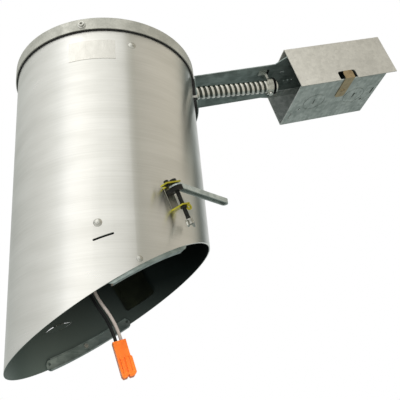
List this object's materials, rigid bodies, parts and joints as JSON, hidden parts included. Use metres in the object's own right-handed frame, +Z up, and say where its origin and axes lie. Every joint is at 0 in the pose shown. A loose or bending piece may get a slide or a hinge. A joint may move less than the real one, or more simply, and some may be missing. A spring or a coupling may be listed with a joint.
{
  "type": "recessed light housing",
  "caption": "Slant-cut aluminium can for a sloped ceiling, with a side arm, junction box, ridged conduit, swing-out clamps and a plug-in lead.",
  "frame": {"origin": "Where the can's axis meets the slanted plane of its lower rim, which is the ceiling's face.", "axes": "+Z runs up the can, +X points uphill along the ceiling and out along the arm, +Y completes the set."},
  "size_m": [0.3796, 0.1961, 0.3399],
  "materials": {
    "can_shell": "mill-finish aluminium, rolled",
    "cap_steel": "galvanised sheet",
    "galvanised_steel": "galvanised sheet, dull",
    "rail_steel": "galvanised sheet in shade",
    "cover_steel": "galvanised sheet, pale",
    "conduit_steel": "interlocked galvanised strip",
    "yellow_zinc": "yellow zinc plate",
    "clamp_steel": "bright zinc plate",
    "latch_steel": "spring steel with a tan passivated finish",
    "bright_fastener": "zinc-plated fasteners and rivets",
    "black_oxide": "black oxide",
    "window_paint": "dark olive paint",
    "gasket_rubber": "black foam rubber",
    "foil": "plain foil patch",
    "black_nylon": "moulded black nylon",
    "green_screw": "green-dyed grounding screw",
    "black_pvc": "wire insulation",
    "white_pvc": "wire insulation",
    "orange_nylon": "moulded orange nylon"
  },
  "bodies": {
    "housing": {"access_plate": "window_paint", "arm_bracket": "galvanised_steel", "box_connector": "black_nylon", "box_rivets": "bright_fastener", "can_body": "can_shell", "can_connector": "black_nylon", "can_rivets": "bright_fastener", "cap_gasket": "gasket_rubber", "cap_screws": "bright_fastener", "clamp_guide_far": "yellow_zinc", "clamp_guide_near": "yellow_zinc", "clamp_stud_far": "black_oxide", "clamp_stud_near": "black_oxide", "connector_screw": "bright_fastener", "flex_conduit": "conduit_steel", "foil_patch": "foil", "ground_screw": "green_screw", "hinge_pin": "bright_fastener", "junction_box": "galvanised_steel", "quick_connector": "orange_nylon", "rail_rivets": "bright_fastener", "saddle_pad": "gasket_rubber", "saddle_rivets": "bright_fastener", "top_cap": "cap_steel", "trim_rail_far": "rail_steel", "trim_rail_near": "rail_steel", "wire_black": "black_pvc", "wire_white": "white_pvc"},
    "box_cover": {"box_cover": "cover_steel"},
    "cover_latch": {"cover_latch": "latch_steel", "latch_rivet": "latch_steel"},
    "clamp_screw_near": {"clamp_screw_near": "black_oxide", "clamp_wing_near": "clamp_steel"},
    "clamp_nut_near": {"clamp_nut_near": "black_oxide"},
    "clamp_arm_near": {"clamp_arm_near": "clamp_steel"},
    "clamp_screw_far": {"clamp_screw_far": "black_oxide", "clamp_wing_far": "clamp_steel"},
    "clamp_nut_far": {"clamp_nut_far": "black_oxide"},
    "clamp_arm_far": {"clamp_arm_far": "clamp_steel"}
  },
  "joints": [
    {"name": "cover_hinge", "type": "hinge", "parent": "housing", "child": "box_cover", "pos_m": [0.17526, -0.0163, 0.25423], "axis": [-0.9715, 0, -0.2368], "range_deg": [0, 100]},
    {"name": "latch_flex", "type": "hinge", "parent": "housing", "child": "cover_latch", "pos_m": [0.18585, -0.005, 0.21081], "axis": [0.9715, 0, 0.2368], "range_deg": [0, 8], "stiffness_Nm_per_rad": 0.15},
    {"name": "screw_turn_near", "type": "hinge", "parent": "housing", "child": "clamp_screw_near", "pos_m": [0.04616, -0.079, 0.0595], "axis": [-0.3429, -0.2004, 0.9178], "range_deg": [0, 3600]},
    {"name": "nut_travel_near", "type": "slide", "parent": "housing", "child": "clamp_nut_near", "axis": [0.3429, 0.2004, -0.9178], "range_m": [0, 0.0106]},
    {"name": "arm_swing_near", "type": "hinge", "parent": "clamp_nut_near", "child": "clamp_arm_near", "pos_m": [0.04616, -0.079, 0.0595], "axis": [0.3429, 0.2004, -0.9178], "range_deg": [0, 95]},
    {"name": "screw_turn_far", "type": "hinge", "parent": "housing", "child": "clamp_screw_far", "pos_m": [-0.04616, 0.079, 0.01144], "axis": [-0.3429, -0.2004, 0.9178], "range_deg": [0, 3600]},
    {"name": "nut_travel_far", "type": "slide", "parent": "housing", "child": "clamp_nut_far", "axis": [0.3429, 0.2004, -0.9178], "range_m": [0, 0.0106]},
    {"name": "arm_swing_far", "type": "hinge", "parent": "clamp_nut_far", "child": "clamp_arm_far", "pos_m": [-0.04616, 0.079, 0.01144], "axis": [-0.3429, -0.2004, 0.9178], "range_deg": [0, 95]}
  ],
  "couplings": [
    {"joint": "screw_turn_near", "follows": "nut_travel_near", "rad_per_m": 5927.5},
    {"joint": "screw_turn_far", "follows": "nut_travel_far", "rad_per_m": 5927.5}
  ]
}
